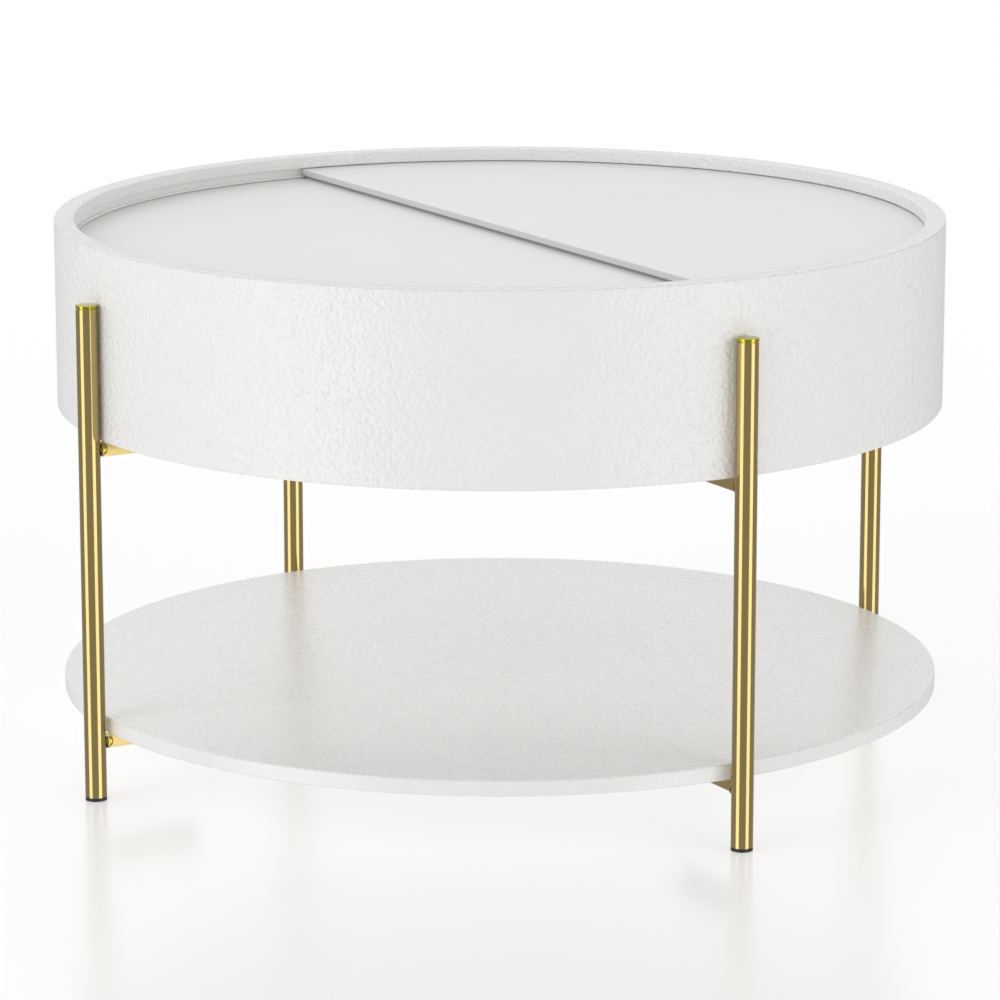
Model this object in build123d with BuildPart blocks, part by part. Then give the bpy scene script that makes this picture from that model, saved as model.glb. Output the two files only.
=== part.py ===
from build123d import *
import math
import os

# Round storage coffee table: a drum on four tube legs, with a shelf near the floor.
# The drum's top is two half-moon lids that turn flat about the drum's vertical axis,
# one over the other, in two round tracks. Millimetres, +Z up, origin on the floor on
# the drum's axis. The seam between the lids lies along Y, and the legs stand on X and Y.

# ---------------------------------------------------------------- driving dimensions
drum_radius = 400
drum_height = 168
drum_bottom = 321.5
rim_width = 18
wall = 14
skin = 0.8
edge_rounding = 1.5
glue_gap = 0.1
floor_thickness = 15

shelf_radius = 398.3
shelf_thickness = 14
shelf_bottom = 59.2
shelf_rounding = 1.2

tube_diameter = 19
tube_wall = 1.5
leg_circle = 410.2
leg_top = 442
cap_height = 2.6
cap_neck_height = 0.4
cap_neck_inset = 0.7
cap_overhang = 0.1
cap_rounding = 0.5
cap_stem = 12
foot_height = 3
foot_rounding = 1
foot_stem = 15

lid_thickness = 6
lid_skin = 0.5
lid_rounding = 0.4
lid_side_clearance = 2
lip_depth = 11.1
lip_clearance = 1
rib_thickness = 2
rib_clearance = 0.5
rib_setback = 0.4
track_clearance = 0.3

plate = 2
bracket_depth = 16
bracket_length = 90
bolt_drop = 7.4
tab_end_radius = 6.2
fold_outer_radius = 2.5
fold_inner_radius = 0.5
web_offset = 6
flange_reach = 14
flange_end_gap = 10
tab_fold_start = 50

# ---------------------------------------------------------------- worked-out dimensions
drum_top = drum_bottom + drum_height
rim_inner = drum_radius - rim_width
wall_inner = drum_radius - wall
liner_outer = wall_inner - glue_gap
floor_top = drum_bottom + floor_thickness

lip_bottom = drum_top - lip_depth
upper_lid_top = lip_bottom - lip_clearance
upper_lid_bottom = upper_lid_top - lid_thickness
rib_top = upper_lid_bottom - track_clearance
rib_bottom = rib_top - rib_thickness
lower_lid_top = rib_bottom - rib_clearance
lower_lid_bottom = lower_lid_top - lid_thickness
liner_top = lower_lid_bottom - track_clearance
lid_radius = wall_inner - lid_side_clearance

lap_width = 10
lap_half_length = 380
felt_width = 7
felt_setback = 1.5
felt_end_gap = 1.5
divider_thickness = 12
divider_end_gap = 0.5
divider_felt_thickness = 1.5
divider_top = liner_top - divider_felt_thickness
divider_half_length = rim_inner - divider_end_gap

stop_angle = 1.2
stop_gap_angle = 0.1

skin_turn_in = 386.5
shelf_board_turn_in = skin_turn_in - 0.5
shelf_top = shelf_bottom + shelf_thickness
tube_radius = tube_diameter / 2
bore_radius = tube_radius - tube_wall
tube_top = leg_top - cap_height - cap_neck_height
drum_bolt_height = drum_bottom - bolt_drop
shelf_bolt_height = shelf_bottom - bolt_drop

# Leg places: the angle of each leg, and the side its brackets' web is folded on
legs = {"right": (0, -1), "back": (90, 1), "left": (180, -1), "front": (270, 1)}

# Fasteners: shank radius, head radius, head height and length under the head, then the
# rounding of the head, the tip, and the socket or cross recess
bolt_shank, bolt_head, bolt_head_height, bolt_length = 2.5, 5, 3.5, 12
screw_shank, screw_head, screw_head_height, screw_length = 2, 3.75, 2.4, 12
sunk_shank, sunk_head = 2, 4
wall_screw_length = 35
divider_screw_length = 40
bolt_rounding, bolt_tip_chamfer = 2, 0.6
socket_size, socket_depth = 1.73, 2
screw_rounding, screw_tip_chamfer = 1.2, 1.5
recess_length, recess_width, recess_depth = 4, 0.9, 1.4
sunk_tip = 2
pilot_end_gap = 0.5
fit_gap = 0.05
plate_hole_gap = 0.15
screw_offset = 4
screw_radii = (325, 372)
wall_screw_angles = [22.5 + 45 * k for k in range(8)]
divider_screw_places = (-300, 0, 300)

# Rivet nut: flange and body radii, bulge radius and where it starts and ends, body length
nut_flange, nut_flange_radius, nut_body = 0.7, 5, 3.5
nut_bulge, nut_bulge_start, nut_bulge_end, nut_length = 4.8, 4.2, 6.2, 12

# Bolt stack inwards from the tube: nut flange, bracket tab, bolt head
tab_outer = leg_circle - tube_radius - nut_flange
tab_inner = tab_outer - plate
bracket_inner = tab_outer - bracket_length

os.makedirs("parts", exist_ok=True)


def around(angle, radius, height):
    """A point at an angle in degrees about the drum's axis."""
    turn = math.radians(angle)
    return Vector(radius * math.cos(turn), radius * math.sin(turn), height)


def leg_plane(angle, height):
    """A level plane at the drum's axis whose x runs out to the leg at this angle."""
    return Plane(origin=(0, 0, height), x_dir=around(angle, 1, 0), z_dir=(0, 0, 1))


def facing_in(angle, radius, height):
    """A plane on the radius whose normal points in, towards the drum's axis."""
    return Plane(origin=around(angle, radius, height), x_dir=(0, 0, 1), z_dir=around(angle, -1, 0))


def facing_out(angle, radius, height):
    """A plane on the radius whose normal points out, away from the drum's axis."""
    return Plane(origin=around(angle, radius, height), x_dir=(0, 0, 1), z_dir=around(angle, 1, 0))


def facing_down(x, y, height):
    """A level plane whose normal points down."""
    return Plane(origin=(x, y, height), x_dir=(1, 0, 0), z_dir=(0, 0, -1))


def save(piece, name):
    """Label a finished piece and write it as its own STEP file."""
    piece.part.label = name
    export_step(piece.part, f"parts/{name}.step")


bolt_planes = [
    facing_in(angle, tab_inner, height)
    for height in (drum_bolt_height, shelf_bolt_height)
    for angle, side in legs.values()
]
wall_screw_height = drum_bottom + floor_thickness / 2
wall_screw_radius = drum_radius - skin - glue_gap
wall_screw_planes = [facing_out(a, wall_screw_radius, wall_screw_height) for a in wall_screw_angles]
divider_screw_planes = [facing_down(0, y, drum_bottom) for y in divider_screw_places]


def bracket_screw_planes(height):
    """Places of the two screws that hold each leg's bracket up to a board's underside."""
    planes = []
    for angle, side in legs.values():
        for radius in screw_radii:
            centre = around(angle, radius, height) + around(angle + 90, -side * screw_offset, 0)
            planes.append(facing_down(centre.X, centre.Y, height))
    return planes


# ---------------------------------------------------------------- drum wall
# The hoop is bent board with a lip at the top that traps the lids. Everything inside it
# goes in from below before the floor closes it.
with BuildPart() as drum_hoop:
    with BuildSketch(Plane.XZ) as hoop_section:
        with BuildLine():
            Polyline(
                (rim_inner + skin, lip_bottom),
                (rim_inner + skin, drum_top - skin),
                (drum_radius - skin, drum_top - skin),
                (drum_radius - skin, drum_bottom + skin),
                (wall_inner, drum_bottom + skin),
                (wall_inner, lip_bottom),
                close=True,
            )
        make_face()
        outer_corners = hoop_section.vertices().filter_by_position(
            Axis.X, rim_inner + skin, drum_radius
        )
        rim_corners = outer_corners.filter_by_position(Axis.Y, lip_bottom + 1, drum_top)
        fillet(rim_corners, edge_rounding - skin)
        lower_corner = hoop_section.vertices().sort_by_distance((drum_radius, drum_bottom))[0]
        fillet(lower_corner, edge_rounding - skin)
    revolve(axis=Axis.Z)
    with Locations(*wall_screw_planes):
        CounterSinkHole(sunk_shank + fit_gap, sunk_head + fit_gap, wall, 90)
save(drum_hoop, "drum_hoop")

# The skin is stretched over the hoop: up the outside, over the rim, down the lip's inner
# face, and turned under the hoop's lower edge.
with BuildPart() as drum_cover:
    with BuildSketch(Plane.XZ) as cover_section:
        with BuildLine():
            Polyline(
                (rim_inner, lip_bottom),
                (rim_inner, drum_top),
                (drum_radius, drum_top),
                (drum_radius, drum_bottom),
                (skin_turn_in, drum_bottom),
                (skin_turn_in, drum_bottom + skin),
                (drum_radius - skin, drum_bottom + skin),
                (drum_radius - skin, drum_top - skin),
                (rim_inner + skin, drum_top - skin),
                (rim_inner + skin, lip_bottom),
                close=True,
            )
        make_face()
        for corner in ((rim_inner, drum_top), (drum_radius, drum_top), (drum_radius, drum_bottom)):
            fillet(cover_section.vertices().sort_by_distance(corner)[0], edge_rounding)
        for corner in (
            (rim_inner + skin, drum_top - skin),
            (drum_radius - skin, drum_top - skin),
            (drum_radius - skin, drum_bottom + skin),
        ):
            fillet(cover_section.vertices().sort_by_distance(corner)[0], edge_rounding - skin)
    revolve(axis=Axis.Z)
save(drum_cover, "drum_cover")


# The rib carries the upper lid, and the liner's top edge carries the lower lid.
for name, inner, bottom, top in (
    ("track_rib", rim_inner + rib_setback, rib_bottom, rib_top),
    ("liner_band", rim_inner, floor_top + glue_gap, liner_top),
):
    with BuildPart() as band:
        with BuildSketch(Plane.XY.offset(bottom)):
            Circle(liner_outer)
            Circle(inner, mode=Mode.SUBTRACT)
        extrude(amount=top - bottom)
    save(band, name)

# One small block in each track stops a lid at its closed place and at half a turn.
with BuildPart() as track_stops:
    for bottom, top, start in (
        (rib_top + glue_gap, lip_bottom - glue_gap, 270 - stop_gap_angle - stop_angle),
        (liner_top + glue_gap, rib_bottom - glue_gap, 270 + stop_gap_angle),
    ):
        with BuildSketch(Plane.XZ.rotated((0, 0, start))):
            with Locations(((rim_inner + liner_outer) / 2, (bottom + top) / 2)):
                Rectangle(liner_outer - rim_inner, top - bottom)
        revolve(axis=Axis.Z, revolution_arc=stop_angle)
save(track_stops, "track_stops")

# ---------------------------------------------------------------- drum floor and divider
with BuildPart() as drum_floor:
    with BuildSketch(Plane.XY.offset(drum_bottom)):
        Circle(liner_outer)
    extrude(amount=floor_thickness)
    with Locations(*wall_screw_planes):
        Cylinder(
            sunk_shank + fit_gap,
            wall_screw_length + pilot_end_gap,
            align=(Align.CENTER, Align.CENTER, Align.MAX),
            mode=Mode.SUBTRACT,
        )
    with Locations(*divider_screw_planes):
        CounterSinkHole(sunk_shank + fit_gap, sunk_head + fit_gap, floor_thickness, 90)
    with Locations(*bracket_screw_planes(drum_bottom)):
        Cylinder(
            screw_shank + fit_gap,
            screw_length + pilot_end_gap - plate,
            align=(Align.CENTER, Align.CENTER, Align.MAX),
            mode=Mode.SUBTRACT,
        )
save(drum_floor, "drum_floor")

with BuildPart() as divider:
    with BuildSketch(Plane.XY.offset(floor_top + glue_gap)):
        Rectangle(divider_thickness, 2 * divider_half_length)
    extrude(amount=divider_top - floor_top - glue_gap)
    with Locations(*divider_screw_planes):
        Cylinder(
            sunk_shank + fit_gap,
            divider_screw_length + pilot_end_gap,
            align=(Align.CENTER, Align.CENTER, Align.MAX),
            mode=Mode.SUBTRACT,
        )
save(divider, "divider")

with BuildPart() as divider_felt:
    with BuildSketch(Plane.XY.offset(divider_top)):
        Rectangle(divider_thickness - 1, 2 * divider_half_length - 1)
    extrude(amount=divider_felt_thickness)
save(divider_felt, "divider_felt")

# ---------------------------------------------------------------- lids
def half_disc(radius, side, edge):
    """A half-moon on one side of the seam, set back from it by edge."""
    Circle(radius)
    with Locations((side * edge, 0)):
        keep = Align.MIN if side > 0 else Align.MAX
        Rectangle(2 * radius, 2 * radius, align=(keep, Align.CENTER), mode=Mode.INTERSECT)


with BuildPart() as upper_lid:
    with BuildSketch(Plane.XY.offset(upper_lid_bottom)):
        half_disc(lid_radius - lid_skin, 1, lid_skin)
    extrude(amount=lid_thickness - lid_skin)
save(upper_lid, "upper_lid")

with BuildPart() as upper_lid_cover:
    with BuildSketch(Plane.XY.offset(upper_lid_bottom)):
        half_disc(lid_radius, 1, 0)
    extrude(amount=lid_thickness)
    fillet(upper_lid_cover.edges().group_by(Axis.Z)[-1], lid_rounding)
    with BuildSketch(Plane.XY.offset(upper_lid_bottom)):
        half_disc(lid_radius - lid_skin, 1, lid_skin)
    extrude(amount=lid_thickness - lid_skin, mode=Mode.SUBTRACT)
save(upper_lid_cover, "upper_lid_cover")

# The lower lid has a lap that reaches a little way under the upper lid's straight edge.
with BuildPart() as lower_lid:
    with BuildSketch(Plane.XY.offset(lower_lid_bottom)):
        half_disc(lid_radius - lid_skin, -1, 0)
        with Locations((-lap_width, 0)):
            Rectangle(
                2 * lap_width - lid_skin,
                2 * (lap_half_length - lid_skin),
                align=(Align.MIN, Align.CENTER),
            )
    extrude(amount=lid_thickness - lid_skin)
save(lower_lid, "lower_lid")

with BuildPart() as lower_lid_cover:
    with BuildSketch(Plane.XY.offset(lower_lid_bottom)):
        half_disc(lid_radius, -1, 0)
        with Locations((-lap_width, 0)):
            Rectangle(2 * lap_width, 2 * lap_half_length, align=(Align.MIN, Align.CENTER))
    extrude(amount=lid_thickness)
    with BuildSketch(Plane.XY.offset(lower_lid_bottom)):
        half_disc(lid_radius - lid_skin, -1, 0)
        with Locations((-lap_width, 0)):
            Rectangle(
                2 * lap_width - lid_skin,
                2 * (lap_half_length - lid_skin),
                align=(Align.MIN, Align.CENTER),
            )
    extrude(amount=lid_thickness - lid_skin, mode=Mode.SUBTRACT)
save(lower_lid_cover, "lower_lid_cover")

# The upper lid's straight edge slides on a felt strip glued to the lap.
with BuildPart() as seam_felt:
    with BuildSketch(Plane.XY.offset(lower_lid_top)):
        with Locations((felt_setback, 0)):
            felt_length = 2 * (lap_half_length - felt_end_gap)
            Rectangle(felt_width, felt_length, align=(Align.MIN, Align.CENTER))
    extrude(amount=upper_lid_bottom - track_clearance - lower_lid_top)
save(seam_felt, "seam_felt")

# ---------------------------------------------------------------- shelf
with BuildPart() as shelf:
    with BuildSketch(Plane.XZ) as shelf_section:
        with BuildLine():
            Polyline(
                (0, shelf_bottom),
                (shelf_board_turn_in, shelf_bottom),
                (shelf_board_turn_in, shelf_bottom + skin),
                (shelf_radius - skin, shelf_bottom + skin),
                (shelf_radius - skin, shelf_top - skin),
                (0, shelf_top - skin),
                close=True,
            )
        make_face()
        for height in (shelf_bottom + skin, shelf_top - skin):
            corner = (shelf_radius - skin, height)
            fillet(shelf_section.vertices().sort_by_distance(corner)[0], shelf_rounding - skin)
    revolve(axis=Axis.Z)
    with Locations(*bracket_screw_planes(shelf_bottom)):
        Cylinder(
            screw_shank + fit_gap,
            screw_length + pilot_end_gap - plate,
            align=(Align.CENTER, Align.CENTER, Align.MAX),
            mode=Mode.SUBTRACT,
        )
save(shelf, "shelf")

with BuildPart() as shelf_cover:
    with BuildSketch(Plane.XZ) as shelf_cover_section:
        with BuildLine():
            Polyline(
                (0, shelf_top),
                (shelf_radius, shelf_top),
                (shelf_radius, shelf_bottom),
                (skin_turn_in, shelf_bottom),
                (skin_turn_in, shelf_bottom + skin),
                (shelf_radius - skin, shelf_bottom + skin),
                (shelf_radius - skin, shelf_top - skin),
                (0, shelf_top - skin),
                close=True,
            )
        make_face()
        for height in (shelf_bottom, shelf_top):
            corner = (shelf_radius, height)
            fillet(shelf_cover_section.vertices().sort_by_distance(corner)[0], shelf_rounding)
        for height in (shelf_bottom + skin, shelf_top - skin):
            corner = (shelf_radius - skin, height)
            fillet(shelf_cover_section.vertices().sort_by_distance(corner)[0], shelf_rounding - skin)
    revolve(axis=Axis.Z)
save(shelf_cover, "shelf_cover")

# ---------------------------------------------------------------- legs
for name, (angle, side) in legs.items():
    centre = around(angle, leg_circle, 0)
    foot_plane = Plane(origin=centre)

    with BuildPart() as leg_tube:
        with BuildSketch(foot_plane.offset(foot_height)):
            Circle(tube_radius)
            Circle(bore_radius, mode=Mode.SUBTRACT)
        extrude(amount=tube_top - foot_height)
        with Locations(
            facing_in(angle, leg_circle - tube_radius, drum_bolt_height),
            facing_in(angle, leg_circle - tube_radius, shelf_bolt_height),
        ):
            Hole(nut_body + fit_gap, tube_radius)
    save(leg_tube, f"leg_{name}")

    # Turned cap: a stem in the bore, a narrow neck and a flat head with eased edges
    with BuildPart() as leg_cap:
        with BuildSketch(foot_plane.offset(tube_top - cap_stem)):
            Circle(bore_radius - fit_gap)
        extrude(amount=cap_stem)
        with BuildSketch(foot_plane.offset(tube_top)):
            Circle(tube_radius - cap_neck_inset)
        extrude(amount=cap_neck_height)
        with BuildSketch(foot_plane.offset(tube_top + cap_neck_height)):
            Circle(tube_radius + cap_overhang)
        extrude(amount=cap_height)
        fillet(leg_cap.edges().group_by(Axis.Z)[-1], cap_rounding)
    save(leg_cap, f"leg_cap_{name}")

    # Moulded foot: a stem in the bore and a pad with a rounded lower edge
    with BuildPart() as leg_foot:
        with BuildSketch(foot_plane):
            Circle(tube_radius)
        extrude(amount=foot_height)
        fillet(leg_foot.edges().group_by(Axis.Z)[0], foot_rounding)
        with BuildSketch(foot_plane.offset(foot_height)):
            Circle(bore_radius - fit_gap)
        extrude(amount=foot_stem)
    save(leg_foot, f"leg_foot_{name}")

# ---------------------------------------------------------------- brackets
# Each bracket is one folded strip: a flange up against the board, a web hanging from it
# along the radius, and the web's outer end folded round into a tab against the leg.
for board, board_bottom in (("drum", drum_bottom), ("shelf", shelf_bottom)):
    for name, (angle, side) in legs.items():
        level = leg_plane(angle, board_bottom)
        section_plane = Plane(
            origin=around(angle, bracket_inner, board_bottom),
            x_dir=around(angle + 90, 1, 0),
            z_dir=around(angle, 1, 0),
        )
        web_inner = side * web_offset
        web_outer = side * (web_offset + plate)

        with BuildPart() as bracket:
            with BuildSketch(section_plane) as fold_section:
                with BuildLine():
                    Polyline(
                        (web_outer, 0),
                        (-side * flange_reach, 0),
                        (-side * flange_reach, -plate),
                        (web_inner, -plate),
                        (web_inner, -bracket_depth),
                        (web_outer, -bracket_depth),
                        close=True,
                    )
                make_face()
                fold_outside = fold_section.vertices().sort_by_distance((web_outer, 0))[0]
                fillet(fold_outside, fold_outer_radius)
                fold_inside = fold_section.vertices().sort_by_distance((web_inner, -plate))[0]
                fillet(fold_inside, fold_inner_radius)
            extrude(amount=bracket_length - flange_end_gap)
            with BuildSketch(level.offset(-bracket_depth)) as tab_section:
                with BuildLine():
                    Polyline(
                        (bracket_inner + tab_fold_start, web_inner),
                        (tab_inner, web_inner),
                        (tab_inner, -web_outer),
                        (tab_outer, -web_outer),
                        (tab_outer, web_outer),
                        (bracket_inner + tab_fold_start, web_outer),
                        close=True,
                    )
                make_face()
                tab_outside = tab_section.vertices().sort_by_distance((tab_outer, web_outer))[0]
                fillet(tab_outside, fold_outer_radius)
                tab_inside = tab_section.vertices().sort_by_distance((tab_inner, web_inner))[0]
                fillet(tab_inside, fold_inner_radius)
            extrude(amount=bracket_depth - fold_outer_radius)
            # The tab's free end is rounded about the bolt, and its lower edge slopes to the web
            end_top = math.sqrt(tab_end_radius**2 - (bolt_drop - fold_outer_radius) ** 2)
            beyond = -side * (web_offset + plate + 1)
            low_diagonal = tab_end_radius * math.sqrt(0.5)
            with BuildSketch(section_plane.offset(bracket_length)):
                with BuildLine():
                    Line((side * web_offset, -bracket_depth), (0, -bolt_drop - tab_end_radius))
                    ThreePointArc(
                        (0, -bolt_drop - tab_end_radius),
                        (-side * low_diagonal, -bolt_drop - low_diagonal),
                        (-side * tab_end_radius, -bolt_drop),
                    )
                    CenterArc(
                        (0, -bolt_drop),
                        tab_end_radius,
                        180 if side > 0 else 0,
                        -side * math.degrees(math.acos(end_top / tab_end_radius)),
                    )
                    Polyline(
                        (-side * end_top, -fold_outer_radius),
                        (beyond, -fold_outer_radius),
                        (beyond, -bracket_depth - 1),
                        (side * web_offset, -bracket_depth - 1),
                        (side * web_offset, -bracket_depth),
                    )
                make_face()
            extrude(amount=-plate - fold_inner_radius, mode=Mode.SUBTRACT)
            with Locations(*bracket_screw_planes(board_bottom)):
                Hole(screw_shank + plate_hole_gap, 2 * plate)
            with Locations(*bolt_planes):
                Hole(bolt_shank + plate_hole_gap, 2 * plate)
        save(bracket, f"{board}_bracket_{name}")

# ---------------------------------------------------------------- fasteners
# Leg bolt: low round head with a hexagon socket
with BuildPart() as leg_bolt:
    with BuildSketch(Plane.XZ) as bolt_section:
        with BuildLine():
            Polyline(
                (0, bolt_head_height),
                (bolt_head, bolt_head_height),
                (bolt_head, 0),
                (bolt_shank, 0),
                (bolt_shank, -bolt_length),
                (0, -bolt_length),
                close=True,
            )
        make_face()
        crown = bolt_section.vertices().sort_by_distance((bolt_head, bolt_head_height))[0]
        fillet(crown, bolt_rounding)
        tip = bolt_section.vertices().sort_by_distance((bolt_shank, -bolt_length))[0]
        chamfer(tip, bolt_tip_chamfer)
    revolve(axis=Axis.Z)
    with BuildSketch(Plane.XY.offset(bolt_head_height)):
        RegularPolygon(socket_size, 6)
    extrude(amount=-socket_depth, mode=Mode.SUBTRACT)

with BuildPart() as leg_bolts:
    with Locations(*bolt_planes):
        add(leg_bolt.part)
save(leg_bolts, "leg_bolts")

# Rivet nut: a flange on the tube, a body through its wall and a bulge that grips inside
with BuildPart() as rivet_nut:
    with BuildSketch(Plane.XZ):
        with BuildLine():
            Polyline(
                (bolt_shank + fit_gap, 0),
                (nut_flange_radius, 0),
                (nut_flange_radius, -nut_flange),
                (nut_body, -nut_flange),
                (nut_body, -nut_bulge_start),
                (nut_bulge, -nut_bulge_start),
                (nut_bulge, -nut_bulge_end),
                (nut_body, -nut_bulge_end),
                (nut_body, -nut_length),
                (bolt_shank + fit_gap, -nut_length),
                close=True,
            )
        make_face()
    revolve(axis=Axis.Z)

with BuildPart() as rivet_nuts:
    with Locations(*[plane.offset(-plate) for plane in bolt_planes]):
        add(rivet_nut.part)
save(rivet_nuts, "rivet_nuts")

# Bracket screw: pan head under the flange, shank up into the board
with BuildPart() as bracket_screw:
    with BuildSketch(Plane.XZ) as screw_section:
        with BuildLine():
            Polyline(
                (0, screw_head_height),
                (screw_head, screw_head_height),
                (screw_head, 0),
                (screw_shank, 0),
                (screw_shank, -screw_length),
                (0, -screw_length),
                close=True,
            )
        make_face()
        crown = screw_section.vertices().sort_by_distance((screw_head, screw_head_height))[0]
        fillet(crown, screw_rounding)
        tip = screw_section.vertices().sort_by_distance((screw_shank, -screw_length))[0]
        chamfer(tip, screw_tip_chamfer)
    revolve(axis=Axis.Z)
    with BuildSketch(Plane.XY.offset(screw_head_height)):
        Rectangle(recess_length, recess_width)
        Rectangle(recess_width, recess_length)
    extrude(amount=-recess_depth, mode=Mode.SUBTRACT)

for board, board_bottom in (("drum", drum_bottom), ("shelf", shelf_bottom)):
    with BuildPart() as bracket_screws:
        with Locations(*[plane.offset(plate) for plane in bracket_screw_planes(board_bottom)]):
            add(bracket_screw.part)
    save(bracket_screws, f"{board}_bracket_screws")


# Countersunk screws, heads flush: through the hoop into the floor, and up into the divider
for name, length, places in (
    ("wall_screws", wall_screw_length, wall_screw_planes),
    ("divider_screws", divider_screw_length, divider_screw_planes),
):
    with BuildPart() as sunk_screw:
        with BuildSketch(Plane.XZ):
            with BuildLine():
                Polyline(
                    (0, 0),
                    (sunk_head, 0),
                    (sunk_shank, sunk_shank - sunk_head),
                    (sunk_shank, sunk_tip - length),
                    (0, -length),
                    close=True,
                )
            make_face()
        revolve(axis=Axis.Z)
    with BuildPart() as sunk_screws:
        with Locations(*places):
            add(sunk_screw.part)
    save(sunk_screws, name)
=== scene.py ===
"""A round drum coffee table: the looks of each piece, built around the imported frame.

The drum, the shelf and the two half-moon lids are board covered in white imitation
leather. The legs are gold plated tube, held by folded gold brackets and round headed
bolts. All sizes are metres, in the frame's own axes: +Z up, the floor at z = 0, the
seam between the lids along Y and the raised lid on the +X side.
"""

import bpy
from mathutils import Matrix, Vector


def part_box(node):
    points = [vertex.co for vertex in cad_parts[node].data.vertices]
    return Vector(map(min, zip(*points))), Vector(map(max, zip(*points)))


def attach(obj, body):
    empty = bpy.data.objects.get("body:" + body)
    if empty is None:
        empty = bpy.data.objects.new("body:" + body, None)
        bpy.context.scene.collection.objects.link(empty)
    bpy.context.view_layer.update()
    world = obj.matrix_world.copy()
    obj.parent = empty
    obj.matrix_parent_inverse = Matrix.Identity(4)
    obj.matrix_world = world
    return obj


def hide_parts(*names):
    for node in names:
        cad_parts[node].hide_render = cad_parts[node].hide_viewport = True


bl_info = {
    "name": "Drum Coffee Table",
    "version": (1, 0, 0),
    "blender": (4, 5, 0),
    "location": "View3D > Sidebar > Drum Table",
    "description": "Builds the skins, legs, brackets and stage of a round drum coffee table",
    "category": "Object",
}

import math

import bmesh
import bpy
from bpy.props import FloatProperty, FloatVectorProperty, IntProperty, PointerProperty
from mathutils import Matrix, Vector

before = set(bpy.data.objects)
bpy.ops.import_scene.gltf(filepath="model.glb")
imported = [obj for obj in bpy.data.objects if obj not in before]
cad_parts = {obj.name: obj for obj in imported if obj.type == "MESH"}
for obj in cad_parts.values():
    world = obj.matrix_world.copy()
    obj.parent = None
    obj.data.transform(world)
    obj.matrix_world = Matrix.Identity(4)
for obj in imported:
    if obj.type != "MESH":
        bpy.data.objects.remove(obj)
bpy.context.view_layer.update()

MM = 0.001
LEGS = {"right": 0.0, "back": 90.0, "left": 180.0, "front": 270.0}
BOARDS = ("drum", "shelf")
ROUND_STEPS = 360

# Inside radii and gaps that the CAD nodes' boxes don't give, and small shapes (mm and degrees)
RIM_WIDTH = 18 * MM
LIP_GAP = 1.5 * MM
RIB_INNER = 382.4 * MM
LINER_INNER = 382.0 * MM
CREASE_HALF_ANGLE = 20
CAP_NECK, CAP_NECK_INSET, CAP_NECK_SUNK, CAP_NECK_LAP = 0.4 * MM, 0.8 * MM, 2 * MM, 0.2 * MM

# Bolt head: height, crown rounding, flat of the crown, socket half width and depth
BOLT_HEIGHT, BOLT_CROWN, BOLT_FLAT, BOLT_SOCKET, BOLT_SOCKET_DEPTH = (
    3.5 * MM,
    2 * MM,
    2.6 * MM,
    1.5 * MM,
    2 * MM,
)

# Studio, in metres: floor half width, and the tall strip lights' size and place
FLOOR_HALF = 12.0
STRIP_WIDTH, STRIP_HEIGHT, STRIP_DISTANCE, STRIP_LIFT = 2.3, 3.4, 4.0, 1.8
STRIP_TURN, STRIP_HALF_TURN = math.radians(54), math.radians(17)

# Turns from the camera's heading at which the mirrored flags end and the full walls begin, and
# the share of the mirrored ceiling's brightness over the flags
FLAGS_END, WALLS_BEGIN = math.radians(80), math.radians(115)
FLAGGED_CEILING = 0.4


def linear(hex_colour):
    """An sRGB hex colour as a linear RGB tuple."""
    channels = [int(hex_colour[i : i + 2], 16) / 255 for i in (1, 3, 5)]
    return tuple(c / 12.92 if c <= 0.04045 else ((c + 0.055) / 1.055) ** 2.4 for c in channels)


# ------------------------------------------------------------------ settings


class DrumTableSizes(bpy.types.PropertyGroup):
    """Small sizes that the frame doesn't hold."""

    edge_rounding: FloatProperty(
        name="Edge rounding",
        description="Radius of the covered edges of the drum and the shelf",
        default=1.5 * MM,
        unit="LENGTH",
    )
    lid_rounding: FloatProperty(
        name="Lid rounding",
        description="Radius of the lids' covered top edges",
        default=0.6 * MM,
        unit="LENGTH",
    )
    skin: FloatProperty(
        name="Skin thickness",
        description="Thickness of the imitation leather on the drum and the shelf",
        default=0.8 * MM,
        unit="LENGTH",
    )
    crease: FloatProperty(
        name="Crease",
        description="Depth of the fine crease where the rim's skin meets the side's skin",
        default=0.8 * MM,
        unit="LENGTH",
    )
    turn_in: FloatProperty(
        name="Turn-in",
        description="Radius to which the skins of the drum and shelf are turned in below",
        default=386.5 * MM,
        unit="LENGTH",
    )
    plate: FloatProperty(
        name="Bracket plate",
        description="Thickness of the brackets' plate",
        default=2.0 * MM,
        unit="LENGTH",
    )
    bolt_head: FloatProperty(
        name="Bolt head radius",
        description="Radius of the leg bolts' round heads",
        default=5.0 * MM,
        unit="LENGTH",
    )
    lap_reach: FloatProperty(
        name="Lap reach",
        description="How far the lower lid's lap runs to each side along the seam",
        default=380.0 * MM,
        unit="LENGTH",
    )
    tube_wall: FloatProperty(
        name="Tube wall",
        description="Wall thickness of the leg tubes",
        default=1.5 * MM,
        unit="LENGTH",
    )
    tube_steps: IntProperty(
        name="Tube steps",
        description="Number of flats that make up a leg tube's round",
        default=96,
        min=24,
    )
    plate_edge: FloatProperty(
        name="Plate edge",
        description="Radius left by tumbling on the edges of the folded brackets",
        default=0.25 * MM,
        unit="LENGTH",
    )


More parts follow.
